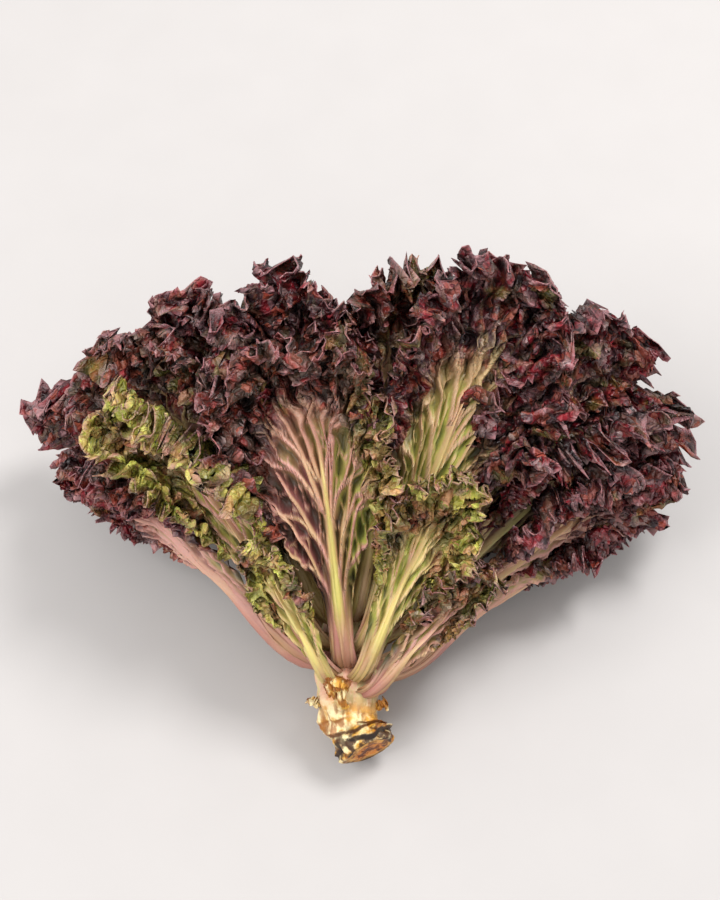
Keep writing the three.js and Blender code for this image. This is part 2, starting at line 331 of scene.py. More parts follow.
# Turn round the axis in degrees (90 is uppermost, 180 left), level, length, half width, shift of the
# blade off the midrib, detail, how green the blade is, and what differs from the usual.
LEAVES = {
    "small_left_leaf": (114, 1.24, 72, 17, 0, "small", 0.85,
        dict(fold=0.6, flare=10, frill_green=0.65, side_veins=3)),
    "small_right_leaf": (54, 1.3, 76, 19, -1, "small", 0.4,
        dict(broad=1.3, fold=0.7, flare=10, side_veins=3, frill_green=0.3, pink=0.9)),
    "small_middle_leaf": (71, 1.17, 94, 26, 0, "small", 0.9,
        dict(fold=0.65, flare=12, frill_green=0.5, side_veins=3)),
    "front_leaf": (95, 1.04, 132, 50, -20, "fine", 0.28,
        dict(pale_rib=1.1, frilled=0.68, midrib=0.13, relief=5.4, spread=0.13, fleck=0.5,
             green_across=0.6, frill_green=0.04, pink=0.9)),
    "left_leaf": (120, 1.13, 150, 25, -6, "fine", 0.75, dict(frill_green=0.75, pink=0.9)),
    "far_left_leaf": (162, 1.0, 153, 27, 0, "fair", 0.2,
        dict(fleshy=6.0, broad=2.1, pale_rib=0.0, wrap=92, reach=0.97, flare=8, fold=0.85,
             pink=1.0)),
    "right_leaf": (348, 1.06, 127, 26, 0, "fair", 0.3,
        dict(fleshy=8.0, broad=2.4, pale_rib=0.0, frilled=0.7, wrap=84, reach=1.03, flare=8,
             pink=1.0)),
    "right_shoulder_leaf": (18, 0.99, 155, 40, 0, "fine", 0.2, dict(reach=1.02, flare=10, pink=0.9)),
    "centre_right_leaf": (69, 0.92, 169, 46, 0, "fine", 0.8,
        dict(frilled=0.63, relief=5.0, spread=0.12, pink=0.6)),
    "left_shoulder_leaf": (130, 0.88, 160, 42, 0, "fair", 0.4, dict(frill_green=0.03)),
    "left_side_leaf": (166, 0.78, 164, 38, 0, "fair", 0.1, dict(reach=1.02)),
    "right_side_leaf": (24, 0.83, 171, 36, 0, "fair", 0.1, dict(reach=1.02)),
    "back_left_leaf": (102, 0.76, 150, 38, 0, "fair", 0.3, dict()),
    "back_right_leaf": (76, 0.63, 146, 40, 0, "fair", 0.5, dict(frill_green=0.03)),
    "right_crown_leaf": (41, 0.73, 170, 42, 0, "fair", 0.15, dict()),
    "left_crown_leaf": (127, 0.66, 152, 34, 0, "fair", 0.2, dict()),
    "under_left_leaf": (243, 0.96, 152, 36, 0, "plain", 0.3, dict(flare=8)),
    "under_right_leaf": (295, 0.96, 150, 36, 0, "plain", 0.3, dict(flare=8)),
    "lower_left_leaf": (230, 0.74, 148, 25, 0, "plain", 0.2, dict(flare=8)),
    "lower_right_leaf": (318, 0.78, 148, 34, 0, "plain", 0.2, dict(flare=8)),
    "under_middle_leaf": (265, 0.5, 138, 32, 0, "plain", 0.2, dict(flare=8)),
    "inner_top_leaf": (98, 0.54, 128, 31, 0, "plain", 0.65, dict()),
    "inner_right_leaf": (16, 0.62, 148, 30, 0, "plain", 0.65, dict()),
    "inner_left_leaf": (188, 0.5, 138, 30, 0, "plain", 0.65, dict()),
    "inner_back_left_leaf": (136, 0.43, 130, 30, 0, "plain", 0.65, dict()),
    "inner_back_right_leaf": (52, 0.41, 132, 29, 0, "plain", 0.65, dict()),
    "inner_lower_right_leaf": (310, 0.6, 136, 22, 0, "plain", 0.2, dict(flare=8)),
    "heart_top_leaf": (92, 0.32, 116, 26, 0, "plain", 0.95, dict(flare=12, frill_green=0.3, pink=0.1)),
    "heart_left_leaf": (170, 0.22, 112, 22, 0, "plain", 0.95, dict(flare=12, frill_green=0.3, pink=0.1)),
    "heart_right_leaf": (20, 0.12, 106, 18, 0, "plain", 0.95, dict(flare=12, frill_green=0.3, pink=0.1)),
}

# Shreds of stalk, left where leaves were pulled off: turn, level, length, half width, and the share of
# that length that the torn stalk still has.
SHREDS = {
    "torn_stub_top": (99, 1.38, 17, 8, 0.9),
    "torn_stub_left": (158, 1.34, 11, 6, 0.5),
    "torn_stub_right": (22, 1.36, 11, 5, 0.5),
}
SHRED = dict(USUAL, sink=3.6, flare=3, curl=45, twist=50, fold=0.35, relief=0.8, shift=0, detail="plain",
             green=0.0, side_veins=2)

# Detail of a blank: columns, then rows in the blade, in the first folds and in the margin.
BLANKS = {"fine": (150, 32, 7, 5), "fair": (72, 16, 7, 6), "small": (60, 14, 6, 5), "plain": (44, 8, 3, 2)}
FOLDS_FROM, MARGIN_FROM = 0.56, 0.78  # how far along a leaf the finer rows start


def deselect():
    bpy.ops.object.select_all(action="DESELECT")


def make_blank(name, columns, blade_rows, fold_rows, margin_rows):
    """A flat sheet, two units square, that is cut finer towards the leaf's margin."""
    rows = blade_rows + fold_rows + margin_rows
    deselect()
    bpy.ops.mesh.primitive_grid_add(x_subdivisions=columns, y_subdivisions=rows, size=2)
    blank = bpy.context.object
    blank.name = name
    for first_row in (blade_rows, blade_rows + fold_rows):
        edge = 2 * first_row / rows - 1
        bpy.ops.object.mode_set(mode="EDIT")
        bpy.ops.mesh.select_mode(type="FACE")
        bpy.ops.mesh.select_all(action="DESELECT")
        bpy.ops.object.mode_set(mode="OBJECT")
        for face in blank.data.polygons:
            face.select = face.center.y > edge
        bpy.ops.object.mode_set(mode="EDIT")
        bpy.ops.mesh.subdivide(number_cuts=1)
        bpy.ops.object.mode_set(mode="OBJECT")
    return blank


def points_of(mesh):
    flat = np.empty(len(mesh.vertices) * 3)
    mesh.vertices.foreach_get("co", flat)
    return flat.reshape(-1, 3)


def blank_shares(mesh, detail):
    """Where each point of a blank is on a leaf: across from -1 to 1, along from 0 to 1."""
    columns, blade_rows, fold_rows, margin_rows = BLANKS[detail]
    flat = points_of(mesh)
    row = (flat[:, 1] + 1) / 2 * (blade_rows + fold_rows + margin_rows)
    stops = [0, blade_rows, blade_rows + fold_rows, blade_rows + fold_rows + margin_rows]
    return flat[:, 0].copy(), np.interp(row, stops, [0, FOLDS_FROM, MARGIN_FROM, 1])


def write_attribute(mesh, name, values):
    layer = mesh.attributes.new(name, "FLOAT", "POINT")
    layer.data.foreach_set("value", values.astype(np.float32))


def shape_mesh(mesh, places, values):
    """Move the points to their places in millimetres, and store what their material reads."""
    mesh.vertices.foreach_set("co", (places * MM).ravel())
    mesh.update()
    for name, value in values.items():
        write_attribute(mesh, name, value)


BLADE_THICK = 0.42  # mm
SINK_REACH = 7  # mm, over which a foot comes up out of the stem
LEAF_SHARP, STEM_SHARP = radians(60), radians(50)  # edges that are sharper than this stay so
TOOTH_DEPTH, BAY_DEPTH, LOBE_DEPTH = 3.4, 2.6, 7.0  # mm, all cut out of the margin
TEETH_PER_FOLD = 1.5  # on each short fold
TOOTH_STRAYS, LOBE_WIDTH = 80, 12  # changes of tooth depth along a margin; mm from lobe to lobe
CRUMPLE_WIDTH = 7  # mm
FLOOR_FROM, FLOOR_GAP = 5, 0.4  # mm, where a leaf starts to lie flat, and how low it comes

# How far things stand out of a leaf, or slide along it, in mm.
VEIN_HEIGHT, RIB_HEIGHT, STALK_RIDGE = 0.7, 2.2, 0.7
DENT, WIDE_DENT = 2.5, 5.0
CRUMPLE_HEIGHT, CRUMPLE_SLIDE = 3.2, 3.0
CURL_HEIGHT, CURL_SLIDE = 3.0, 1.3
WAVE_HEIGHT, WAVE_STEP = 1.2, 2.1  # and how far along a leaf a wave takes for one radian


def cut_margin(leaf, rng, place, along, frill, folds, short, margin_length):
    """The way along the leaf once its margin is cut: sharp teeth on the short folds, bays on the long
    ones, and broad lobes over several of them."""
    steps = np.linspace(0, 1, FRILL_STEPS)
    short_here, folds_here = np.interp(place, steps, short), np.interp(place, steps, folds)
    saw = np.abs(2 * ((TEETH_PER_FOLD * short_here) % 1) - 1)
    depth = 1 + 0.7 * np.interp(place, steps, wander(rng, TOOTH_STRAYS))
    lobe = np.interp(place, steps, np.abs(wander(rng, margin_length / LOBE_WIDTH)))
    bay = 0.5 + 0.5 * np.sin(pi * folds_here)
    cut = (TOOTH_DEPTH * depth * saw**0.8 + BAY_DEPTH * bay + LOBE_DEPTH * lobe) * leaf["fold"]
    cut = cut / (leaf["length"] * (1 - leaf["frilled"]))
    return along - cut * smooth(frill, 0.5, 1) * (1 - leaf["frilled"])


def leaf_directions(leaf, across, along, roll):
    """The directions sideways in the leaf and straight out of its back, at each point."""
    step = 0.004
    along_line = (smooth_leaf(leaf, across, along + step, roll)
                  - smooth_leaf(leaf, across, np.maximum(along - step, 0), roll))
    across_line = (smooth_leaf(leaf, across + step, along, roll)
                   - smooth_leaf(leaf, across - step, along, roll))
    along_line /= np.linalg.norm(along_line, axis=1, keepdims=True)
    out_of_back = np.cross(across_line, along_line)
    out_of_back /= np.linalg.norm(out_of_back, axis=1, keepdims=True)
    return np.cross(along_line, out_of_back), out_of_back


def shape_leaf(leaf, rng, across, along):
    """Every point of a leaf in millimetres, the values its material reads, and its thickness."""
    sideways, outward, folds, short, margin_length = frill_tables(leaf, rng)
    place = (across + 1) / 2
    frill = np.clip((along - leaf["frilled"]) / (1 - leaf["frilled"]), 0, 1)
    late = leaf["frilled"] - USUAL["frilled"]
    round_count = int(leaf["half_width"] * 4 / CRUMPLE_WIDTH) + 2
    long_count = int(leaf["length"] / CRUMPLE_WIDTH) + 2
    along = cut_margin(leaf, rng, place, along, frill, folds, short, margin_length)

    # the folds wander and fork on their way to the margin, and their crests roll back over the leaf
    folded = place + leaf["wander"] * blotches(rng, place, along, round_count, long_count) / margin_length
    ridge = look_up(outward, np.full_like(place, 0.65), folded)
    roll = 1 + 0.6 * np.tanh(ridge / 2.5) + 0.6 * blotches(rng, place, along, round_count // 2, 2)
    middle = smooth_leaf(leaf, across, along, roll)
    beside, out_of_back = leaf_directions(leaf, across, along, roll)

    # the leaf swells between its veins, which stand out of its back
    veins, gap, rib = vein_field(leaf, rng, across, along)
    x, y = flat_leaf(leaf, across, along)
    net = cell_edges(rng, x / NET_WIDTH + 40, y / NET_LENGTH + 3)
    net = net * smooth(along, 0.26, 0.42) * NET_STRENGTH
    pillow = (1 - np.exp(-gap / 2.4)) * (1 - 0.7 * net)
    lift = -leaf["relief"] * pillow * smooth(along, 0.12, 0.4) * (1 - 0.6 * frill)
    lift = lift + VEIN_HEIGHT * veins * (1 - 0.6 * frill)
    rib_height = RIB_HEIGHT * rib * (1 - smooth(along, 0.1, 0.7))
    lift = lift + rib_height * (0.4 + 0.6 * leaf["half_width"] / WIDE_LEAF)

    # ridges along the stalk, then wider and wider dents, then the crumpling of the frill
    lift = lift + STALK_RIDGE * blotches(rng, place, along, 22, 3) * (1 - smooth(along, 0.2, 0.5))
    lift = lift + DENT * blotches(rng, place, along, 7, 7) * smooth(along, 0.25, 0.6)
    lift = lift + WIDE_DENT * blotches(rng, place, along, 6, 4) * smooth(along, 0.5, 0.95) * leaf["fold"]
    crumple = smooth(along - late, 0.5, 0.75) * leaf["fold"]
    lift = lift + CRUMPLE_HEIGHT * crumple * blotches(rng, place, along, round_count, long_count)
    slide = CRUMPLE_SLIDE * crumple * blotches(rng, place, along, round_count, long_count)

    # small curls: sharp crests that meet round little hollows
    curl_count, curl_rows = int(margin_length / CURL_SIZE), int(leaf["length"] / CURL_SIZE)
    curls = np.clip(1 - 2.6 * np.abs(blotches(rng, folded, along, curl_count, curl_rows)), 0, 1)
    small = smooth(along - late, 0.58, 0.74) * (0.4 + 0.6 * leaf["fold"])
    lift = lift + CURL_HEIGHT * small * (curls - 0.3)
    slide = slide + CURL_SLIDE * small * blotches(rng, place, along, curl_count, curl_rows)

    # put together: folds, swelling, small waves down both sides, and the foot sunk into the stem
    ends = smooth(1 - np.abs(across), 0, 0.12)
    side = look_up(sideways, frill, folded) * along * ends + slide
    waves = np.sin(along * leaf["length"] / WAVE_STEP + 6 * place) * smooth(np.abs(across), 0.6, 1)
    waves = WAVE_HEIGHT * waves * smooth(along, 0.3, 0.55) * (1 - 0.7 * frill) * leaf["fold"]
    out = look_up(outward, frill, folded) * along * ends + lift + waves
    out = out - leaf["sink"] * np.exp(-along * leaf["length"] / SINK_REACH)
    places = middle + side[:, None] * beside + out[:, None] * out_of_back
    low = places[:, 2] < FLOOR_FROM
    room = FLOOR_FROM - FLOOR_GAP
    places[low, 2] = FLOOR_GAP + room * np.exp((places[low, 2] - FLOOR_FROM) / room)

    # colour: green blades turn red in the frill, but for flecks and for the side that stays green
    stalk = 1 - smooth(along, 0.12, 0.42)
    patches = blotches(rng, place, along, 9, 9)
    green = leaf["green"] + leaf["green_across"] * across + 0.35 * patches
    redder = smooth(along - late, 0.54, 0.72)
    flecks = leaf["fleck"] * smooth(blotches(rng, place, along, 20, 16), 0.55, 0.9)
    sided = leaf["green_across"] * smooth(across, 0.25, 0.8)
    green = green * (1 - redder) + (leaf["frill_green"] * (1 + patches) + flecks + sided) * redder
    # fold and curls make the crest value, which paints shade in the frill's hollows and a highlight on its
    # crests
    fold = 0.5 + 0.5 * np.tanh(look_up(outward, frill, folded) / 3)
    strand = 0.5 + 0.5 * blotches(rng, place, along, 34, 3)
    pale = leaf["pale_rib"] * rib**3 * smooth(along, 0.08, 0.25) * smooth(0.75 - along, 0, 0.4)
    values = {
        "frill": frill,
        "vein": np.maximum(veins, 0.85 * net),
        # pillow also sets the painted shade between the veins
        "pillow": pillow,
        "crest": np.clip(0.25 + 0.5 * curls + 0.3 * fold, 0, 1),
        "strand": np.clip(strand, 0, 1),
        "green": np.clip(green, 0, 1),
        "stalk": stalk,
        "pink": np.clip(leaf["pink"] + 0.3 * patches - pale, 0, 1),
        "brown": 0.8 * smooth(frill, 0.3, 1),
    }
    thick = BLADE_THICK + (leaf["fleshy"] - BLADE_THICK) * stalk * (0.3 + 0.7 * rib)
    return places, values, thick


def make_leaf(name, leaf, blank, material, seed):
    """One leaf from a copy of a blank, given its own thickness."""
    rng = np.random.default_rng(seed)
    deselect()
    piece = blank.copy()
    piece.data = blank.data.copy()
    bpy.context.collection.objects.link(piece)
    piece.name = piece.data.name = name
    across, along = blank_shares(piece.data, leaf["detail"])
    places, values, thick = shape_leaf(leaf, rng, across, along)
    shape_mesh(piece.data, places, values)
    flesh = piece.vertex_groups.new(name="flesh")
    for index, weight in enumerate(np.clip(thick / leaf["fleshy"], 0, 1)):
        flesh.add([index], float(weight), "REPLACE")
    piece.select_set(True)
    bpy.context.view_layer.objects.active = piece
    skin = piece.modifiers.new("skin", "SOLIDIFY")
    skin.thickness = leaf["fleshy"] * MM
    skin.offset = 0
    skin.vertex_group = "flesh"
    bpy.ops.object.modifier_apply(modifier="skin")
    inside = np.zeros(len(piece.data.vertices))
    inside[len(across):] = 1
    write_attribute(piece.data, "inside", inside)
    bpy.ops.object.shade_smooth_by_angle(angle=LEAF_SHARP)
    piece.data.materials.clear()
    piece.data.materials.append(material)
    return piece


# ----------------------------------------
# Stem: a ball drawn out into the cut butt and the core between the leaves, with leaf scars round it.
# It is drawn out by stops: shares of the way from its lower pole, place along the axis, and radius.

STEM_STOPS = [0, 0.14, 0.17, 0.2, 0.45, 0.62, 0.75, 0.86, 0.94, 1]
STEM_ALONG = [-35.6, -36.4, -35.8, -34.5, -14, -2, 14, 30, 42, 48]
STEM_RADIUS = [0, 8.6, 9.8, 10.6, 12.4, 13, 11.0, 8.0, 4.5, 0]
LEAN_FROM, BUTT_LEAN, LEAN_EASE = -18.0, 0.7, 8  # from here down, the butt leans over to the right
CUT_TILT, CUT_FACES_UP = 0.42, 0.22  # slope of the cut end, sideways and upwards
CUT_RADIUS = 11  # mm
DENT_DEPTH = 0.6  # mm
CUT_RINGS = [(0.72, 0.07, 1.0), (0.4, 0.06, 0.6)]  # rings dented into the cut end: radius, width, share

# Leaf scars: turn round the stem, place along it, and how deep and brown each one is.
SCARS = [(70, -33.0, 1.0), (200, -31.5, 1.0), (330, -31.0, 0.9), (110, -28.5, 0.9), (20, -27.0, 1.0),
         (240, -25.5, 0.8), (150, -22.0, 0.5), (60, -18.0, 0.35), (290, -17.0, 0.5), (190, -12.0, 0.4)]
SCAR_BOW, SCAR_LIP = 4.0, 0.9  # mm, how far a scar bows, and how far its lip stands up

# Bumps round the stem: how many, their fewest and most to a turn, how they climb, and their height.
BUMPS = [(14, 2, 9, 0.5, 0.22), (10, 9, 22, 0.15, 0.1)]


def make_stem(material):
    rng = np.random.default_rng(STEM_SEED)
    deselect()
    bpy.ops.mesh.primitive_uv_sphere_add(segments=104, ring_count=96, radius=1)
    stem = bpy.context.object
    stem.name = stem.data.name = "stem_flesh"
    flat = points_of(stem.data)
    share = 1 - np.arccos(np.clip(flat[:, 2], -1, 1)) / pi
    angle = np.arctan2(flat[:, 1], flat[:, 0])
    along = np.interp(share, STEM_STOPS, STEM_ALONG)
    radius = np.interp(share, STEM_STOPS, STEM_RADIUS)
    skin = smooth(radius, 5, 10) * smooth(share, 0.13, 0.2)
    face = smooth(0.16 - share, 0, 0.02)
    ring = np.clip(radius / CUT_RADIUS + 0.06 * np.sin(3 * angle) + 0.04 * np.sin(7 * angle + 1), 0, 1)
    burnt = smooth(-along, 22, 34)

    # each scar is a bowed line part of the way round: a raised lip with a groove under it
    scar = np.zeros_like(along)
    rise = np.zeros_like(along)
    for order, (turn, level, size) in enumerate(SCARS):
        away = np.abs((angle - radians(turn) + pi) % (2 * pi) - pi)
        bow = SCAR_BOW * (1 - np.cos(away)) + 0.8 * np.sin(3 * angle + 2 * order)
        bow = bow + 0.4 * np.sin(8 * angle + order)
        line = along - level - bow
        near = smooth(1.5 - away, 0, 0.8) * size
        lip, groove = np.exp(-(line / 0.7) ** 2), np.exp(-((line + 1.6) / 0.9) ** 2)
        rise += near * (SCAR_LIP * lip - SCAR_LIP * groove)
        scar = np.maximum(scar, near * np.exp(-((line + 0.9) / 0.8) ** 2))
    for count, fewest, most, climbs, height in BUMPS:
        for _ in range(count):
            across, climb = rng.integers(fewest, most), rng.uniform(-climbs, climbs)
            start = rng.uniform(0, 2 * pi)
            rise += height * np.sin(across * angle + climb * along + start)
    dent = sum(depth * np.exp(-((ring - middle) / width) ** 2) for middle, width, depth in CUT_RINGS)
    along = along + DENT_DEPTH * face * dent
    radius = radius + rise * skin

    # the butt leans over and is cut at a slant
    below = np.maximum(LEAN_FROM - along, 0)
    lean = BUTT_LEAN * below**2 / (below + LEAN_EASE)
    along = along + smooth(below, 0, 16) * (CUT_TILT * (radius * np.cos(angle) + 8)
                                            + CUT_FACES_UP * radius * np.sin(angle))
    places = (BASE + along[:, None] * AXIS + (radius * np.cos(angle) + lean)[:, None] * ACROSS
              + (radius * np.sin(angle))[:, None] * UPWARD)
    shape_mesh(stem.data, places, {"brown": np.clip(scar, 0, 1), "burnt": burnt, "cut": face,
                                   "ring": ring, "upper": smooth(along, -22, -8)})
    bpy.ops.object.mode_set(mode="EDIT")
    bpy.ops.mesh.select_all(action="SELECT")
    bpy.ops.mesh.normals_make_consistent(inside=False)
    bpy.ops.object.mode_set(mode="OBJECT")
    bpy.ops.object.shade_smooth_by_angle(angle=STEM_SHARP)
    stem.data.materials.append(material)
    return stem


# ----------------------------------------
# Materials. The size given for a pattern is that of one patch of it.

LEAF_MOTTLE = 7.142857 * MM  # patches of deeper and paler colour
LEAF_GRAIN = 1.1111111 * MM  # coarser than in life, so that it shows
CURL_WIDTH = 4.2 * MM  # one small curl of the frill
CURL_STIR, CURL_BEND = 6 * MM, 4 * MM  # from one bend in a rim to the next, and the most it bends
STEM_STAIN = 7.142857 * MM
STEM_SPOT = 3.846154 * MM
STEM_STREAK, STREAK_SQUEEZE = 3.3333333 * MM, 0.2  # its width; it is five times as long
STREAK_LEAN = 0.23  # it climbs with the axis
STEM_GRAIN = 1.4285714 * MM
FLOOR_GRAIN = 33.333333 * MM
BACK_ROUGH, FACE_ROUGH, STEM_ROUGH, FLOOR_ROUGH = 0.5, 0.4, 0.5, 0.7


def linear(hex_colour):
    """An sRGB hex colour as the linear values that a shader takes."""
    shares = [int(hex_colour[i:i + 2], 16) / 255 for i in (1, 3, 5)]
    return tuple(c / 12.92 if c <= 0.04045 else ((c + 0.055) / 1.055) ** 2.4 for c in shares) + (1.0,)


def add(tree, kind, inputs=(), **settings):
    """One node with its settings. An input is a value, a hex colour or a link to another node."""
    node = tree.nodes.new(kind)
    for key, value in settings.items():
        setattr(node, key, value)
    for key, value in dict(inputs).items():
        if isinstance(value, bpy.types.NodeSocket):
            tree.links.new(value, node.inputs[key])
        else:
            node.inputs[key].default_value = linear(value) if isinstance(value, str) else value
    return node


def new_material(name, attributes=()):
    """An empty material, and what its steps can read: its place and the piece's attributes."""
    material = bpy.data.materials.new(name)
    material.use_nodes = True
    tree = material.node_tree
    tree.nodes.clear()
    read = {"place": add(tree, "ShaderNodeTexCoord").outputs["Object"]}
    for attribute in attributes:
        read[attribute] = add(tree, "ShaderNodeAttribute", attribute_name=attribute).outputs["Fac"]
    return material, tree, read


def work_out(tree, read, steps):
    """Add a colour's steps in order: a name, what is done, and what it reads, by name or as a value. A
    rise reads a source, where it starts and ends, and its value at each. A mix reads a share and two
    colours, and goes over to the second as the share goes to 1. Any other step is plain arithmetic."""
    for name, deed, *sources in steps:
        sources = [read.get(source, source) for source in sources]
        if deed == "rise":
            sockets = dict(zip(("Value", "From Min", "From Max", "To Min", "To Max"), sources))
            node = add(tree, "ShaderNodeMapRange", sockets, interpolation_type="SMOOTHSTEP")
            read[name] = node.outputs[0]
        elif deed == "mix":
            sockets = dict(zip((0, 6, 7), sources))
            read[name] = add(tree, "ShaderNodeMix", sockets, data_type="RGBA").outputs[2]
        else:
            sockets = dict(enumerate(sources))
            read[name] = add(tree, "ShaderNodeMath", sockets, operation=deed, use_clamp=True).outputs[0]


LEAF_STEPS = [
    # the blade is dull red or green, with painted shade between the veins, where it swells
    ("red blade", "mix", "mottle", "#5a2a2a", "#96605a"),
    ("green blade", "mix", "mottle", "#7c8030", "#c9c866"),
    ("plain blade", "mix", "green", "red blade", "green blade"),
    # painted shade: the tissue between the veins darkens towards near-black green
    ("shade between veins", "rise", "pillow", 0.45, 0.95, 0.0, 0.82),
    ("blade", "mix", "shade between veins", "plain blade", "#1a200c"),

    # a red frill: curls show their greyish back or their wine-red face, with painted shade in the rims where
    # they meet and a painted highlight on some curls
    ("patchy", "rise", "mottle", 0.35, 0.68),
    ("turned over", "rise", "curl red", 0.32, 0.55),
    ("warm curl", "rise", "curl green", 0.78, 0.95, 0.0, 0.6),
    # painted highlight on some curls, then painted shade in the rims where the curls meet
    ("curl highlight", "rise", "curl blue", 0.78, 0.96, 0.0, 0.45),
    ("rim", "rise", "rims", 0.02, 0.22, 0.45, 0.0),
    ("grey back", "mix", "patchy", "#2e1017", "#865a5e"),
    ("wine face", "mix", "patchy", "#26040a", "#8e1a26"),
    ("back", "mix", "turned over", "grey back", "wine face"),
    ("both sides", "mix", "inside", "back", "wine face"),
    ("rim shaded", "mix", "rim", "both sides", "#120306"),
    ("paler", "mix", "curl highlight", "rim shaded", "#b89a98"),
    ("red frill", "mix", "warm curl", "paler", "#a04a34"),

    # a green frill: yellow green with brownish curls
    ("green patch", "rise", "mottle", 0.4, 0.65),
    ("brown curl", "rise", "curl red", 0.4, 0.7, 0.0, 0.5),
    ("yellow green", "mix", "green patch", "#8a8a2a", "#dedb68"),
    ("browner", "mix", "brown curl", "yellow green", "#90583c"),
    ("green frill", "mix", "warm curl", "browner", "#d0906e"),

    # the frill over the blade, with painted shade in its hollows, a painted highlight on the tops of its
    # crests, and paler along its edge
    ("frill colour", "mix", "green", "red frill", "green frill"),
    ("frill share", "rise", "frill", 0.05, 0.35),
    ("whole leaf", "mix", "frill share", "blade", "frill colour"),
    # painted shade: the frill's hollows darken towards near-black where the crest value is low
    ("hollow", "rise", "crest", 0.62, 0.25),
    ("in the frill", "rise", "frill", 0.1, 0.4, 0.0, 0.9),
    ("dark", "MULTIPLY", "hollow", "in the frill"),
    ("painted shade colour", "mix", "green", "#0c0104", "#5a5a1c"),
    ("shaded", "mix", "dark", "whole leaf", "painted shade colour"),
    ("margin", "rise", "frill", 0.975, 1.0),
    # painted highlight on the tops of the crests, joined with the paler margin
    ("crest highlight", "rise", "crest", 0.86, 1.0),
    ("edge", "MAXIMUM", "margin", "crest highlight"),
    ("edge fades in", "rise", "frill", 0.1, 0.5, 0.0, 0.48),
    ("pale margin and crest highlight", "MULTIPLY", "edge", "edge fades in"),
    ("edged", "mix", "pale margin and crest highlight", "shaded", "#b58084"),

    # veins, pink or yellow, which get lost in the frill
    ("vein colour", "mix", "pink", "#d6c778", "#bf8a7e"),
    ("on a vein", "rise", "vein", 0.25, 0.85),
    ("vein fades", "rise", "frill", 0.0, 0.5, 0.95, 0.1),
    ("vein share", "MULTIPLY", "on a vein", "vein fades"),
    ("veined", "mix", "vein share", "edged", "vein colour"),

    # the stalk, in long strands
    ("strand colour", "mix", "pink", "#a8a046", "#8a4c48"),
    ("duller", "mix", "pink", "#bfa558", "#a06a5e"),
    ("brighter", "mix", "pink", "#d8c584", "#c79880"),
    ("between strands", "mix", "mottle", "duller", "brighter"),
    ("stalk colour", "mix", "strand", "strand colour", "between strands"),
    ("colour", "mix", "stalk", "veined", "stalk colour"),

    # the matt back and the satin face, and the round tops of the curls
    ("rough", "rise", "inside", 0.0, 1.0, BACK_ROUGH, FACE_ROUGH),
    ("off the rim", "rise", "rims", 0.0, 0.3),
    ("frill starts", "rise", "frill", 0.05, 0.4),
    ("rounded", "MULTIPLY", "off the rim", "frill starts"),
]


def leaf_tissue():
    """Fresh lettuce leaf, grown: thin, waxy and satin. Its red pigment lies over green tissue and is
    deepest in the frill, the veins stay pale, and the back is greyer and more matt than the face.
    Painted shade darkens the hollows between the veins and between the curls, and a painted
    highlight lies on some curls and on the crests."""
    material, tree, read = new_material("fresh_leaf_tissue", (
        "frill", "vein", "green", "stalk", "pink", "inside", "pillow", "crest", "strand"))
    place = read["place"]
    patterns = {
        "mottle": {"Vector": place, "Scale": 1 / LEAF_MOTTLE, "Detail": 3.0},
        "grain": {"Vector": place, "Scale": 1 / LEAF_GRAIN, "Detail": 2.0},
    }
    for name, inputs in patterns.items():
        read[name] = add(tree, "ShaderNodeTexNoise", inputs).outputs["Fac"]

    # small curls: cells with bent rims, each of its own kind
    stir = add(tree, "ShaderNodeTexNoise", {"Vector": place, "Scale": 1 / CURL_STIR, "Detail": 2.0})
    stirred = add(tree, "ShaderNodeMix", {0: CURL_BEND, 6: place, 7: stir.outputs["Color"]},
                  data_type="RGBA", blend_type="LINEAR_LIGHT")
    cells = {"Vector": stirred.outputs[2], "Scale": 1 / CURL_WIDTH}
    read["rims"] = add(tree, "ShaderNodeTexVoronoi", cells, feature="DISTANCE_TO_EDGE").outputs["Distance"]
    kinds = add(tree, "ShaderNodeTexVoronoi", cells, feature="F1").outputs["Color"]
    kinds = add(tree, "ShaderNodeSeparateColor", {"Color": kinds})
    read["curl red"], read["curl green"], read["curl blue"] = kinds.outputs
    work_out(tree, read, LEAF_STEPS)

    fine = add(tree, "ShaderNodeBump", {"Strength": 0.25, "Distance": 0.0006, "Height": read["grain"]})
    relief = add(tree, "ShaderNodeBump", {"Strength": 0.7, "Distance": 0.002, "Height": read["rounded"],
                                          "Normal": fine.outputs[0]})
    shader = add(tree, "ShaderNodeBsdfPrincipled", {
        "Base Color": read["colour"], "Roughness": read["rough"], "Normal": relief.outputs[0],
        "Subsurface Weight": 0.08, "Subsurface Scale": 0.002})
    add(tree, "ShaderNodeOutputMaterial", {"Surface": shader.outputs[0]})
    return material


